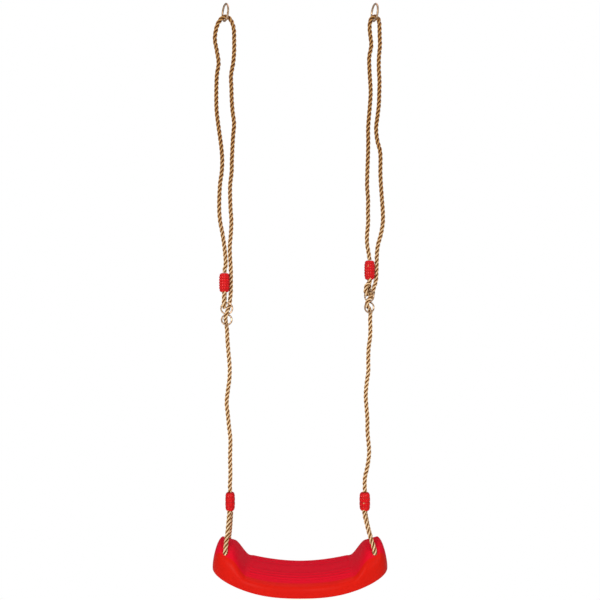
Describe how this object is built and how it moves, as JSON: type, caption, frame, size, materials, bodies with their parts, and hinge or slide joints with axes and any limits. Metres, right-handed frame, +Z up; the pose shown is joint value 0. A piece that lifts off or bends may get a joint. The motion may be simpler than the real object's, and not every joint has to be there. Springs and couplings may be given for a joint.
{
  "type": "rope swing seat",
  "caption": "Curved moulded swing seat with raised ends, hung on twisted ropes with crimped ferrules, wire figure-8 length adjusters and steel hanging rings.",
  "frame": {"origin": "halfway between the points where the two top rings rest on their hooks", "axes": "+Z up, +X from the left rope to the right rope as seen from the front, -Y out of the front of the seat"},
  "size_m": [0.4308, 0.168, 1.4406],
  "materials": {
    "seat_plastic": "fine-grained satin, red",
    "ferrule_plastic": "glossy red",
    "rope_hemp": "golden brown twisted rope",
    "bright_steel": "bright zinc-plated wire"
  },
  "bodies": {
    "rings": {"top_ring_left": "bright_steel", "top_ring_right": "bright_steel"},
    "carrier": {"bight_rope_left": "rope_hemp", "bight_rope_right": "rope_hemp"},
    "left_loop": {"loop_rope_short_left": "rope_hemp", "loop_rope_long_left": "rope_hemp"},
    "right_loop": {"loop_rope_short_right": "rope_hemp", "loop_rope_long_right": "rope_hemp"},
    "left_adjuster": {"upper_ferrule_left": "ferrule_plastic", "adjuster_eight_left": "bright_steel", "eye_rope_left": "rope_hemp", "weave_rope_left": "rope_hemp"},
    "right_adjuster": {"upper_ferrule_right": "ferrule_plastic", "adjuster_eight_right": "bright_steel", "eye_rope_right": "rope_hemp", "weave_rope_right": "rope_hemp"},
    "left_run": {"lower_rope_left": "rope_hemp", "lower_ferrule_left": "ferrule_plastic"},
    "right_run": {"lower_rope_right": "rope_hemp", "lower_ferrule_right": "ferrule_plastic"},
    "left_vee": {"seat_loop_rope_left": "rope_hemp"},
    "right_vee": {"seat_loop_rope_right": "rope_hemp"},
    "seat": {"seat_shell": "seat_plastic"}
  },
  "joints": [
    {"name": "swing", "type": "hinge", "parent": "rings", "child": "carrier", "pos_m": [0, 0, -0.0375], "axis": [1, 0, 0], "range_deg": [-50, 50], "deforming": ["bight_rope_left", "bight_rope_right"]},
    {"name": "left_sway", "type": "hinge", "parent": "carrier", "child": "left_loop", "pos_m": [-0.185, 0, -0.0375], "axis": [0, 1, 0], "range_deg": [-12, 12]},
    {"name": "right_sway", "type": "hinge", "parent": "carrier", "child": "right_loop", "pos_m": [0.185, 0, -0.0375], "axis": [0, 1, 0], "range_deg": [-12, 12]},
    {"name": "left_adjust", "type": "slide", "parent": "left_loop", "child": "left_adjuster", "axis": [0, 0, -1], "range_m": [-0.1, 0.1], "deforming": ["loop_rope_short_left", "loop_rope_long_left", "eye_rope_left"]},
    {"name": "right_adjust", "type": "slide", "parent": "right_loop", "child": "right_adjuster", "axis": [0, 0, -1], "range_m": [-0.1, 0.1], "deforming": ["loop_rope_short_right", "loop_rope_long_right", "eye_rope_right"]},
    {"name": "left_lift", "type": "slide", "parent": "left_adjuster", "child": "left_run", "axis": [0, 0, 1], "range_m": [-0.2, 0.2], "deforming": ["weave_rope_left", "lower_rope_left"]},
    {"name": "right_lift", "type": "slide", "parent": "right_adjuster", "child": "right_run", "axis": [0, 0, 1], "range_m": [-0.2, 0.2], "deforming": ["weave_rope_right", "lower_rope_right"]},
    {"name": "seat_pitch", "type": "hinge", "parent": "left_run", "child": "left_vee", "pos_m": [-0.173, 0, -1.2542], "axis": [1, 0, 0], "range_deg": [-20, 20], "deforming": ["seat_loop_rope_left"]},
    {"name": "right_pitch", "type": "hinge", "parent": "right_run", "child": "right_vee", "pos_m": [0.1604, 0, -1.2542], "axis": [1, 0, 0], "range_deg": [-20, 20], "deforming": ["seat_loop_rope_right"]},
    {"name": "left_level", "type": "hinge", "parent": "left_vee", "child": "seat", "pos_m": [-0.18, 0, -1.342], "axis": [0, 1, 0], "range_deg": [-12, 12]}
  ],
  "couplings": [
    {"joint": "right_sway", "follows": "left_sway", "ratio": 1},
    {"joint": "left_level", "follows": "left_sway", "ratio": -1},
    {"joint": "right_adjust", "follows": "left_adjust", "ratio": 1},
    {"joint": "left_lift", "follows": "left_adjust", "ratio": 2},
    {"joint": "right_lift", "follows": "left_adjust", "ratio": 2},
    {"joint": "right_pitch", "follows": "seat_pitch", "ratio": 1}
  ]
}
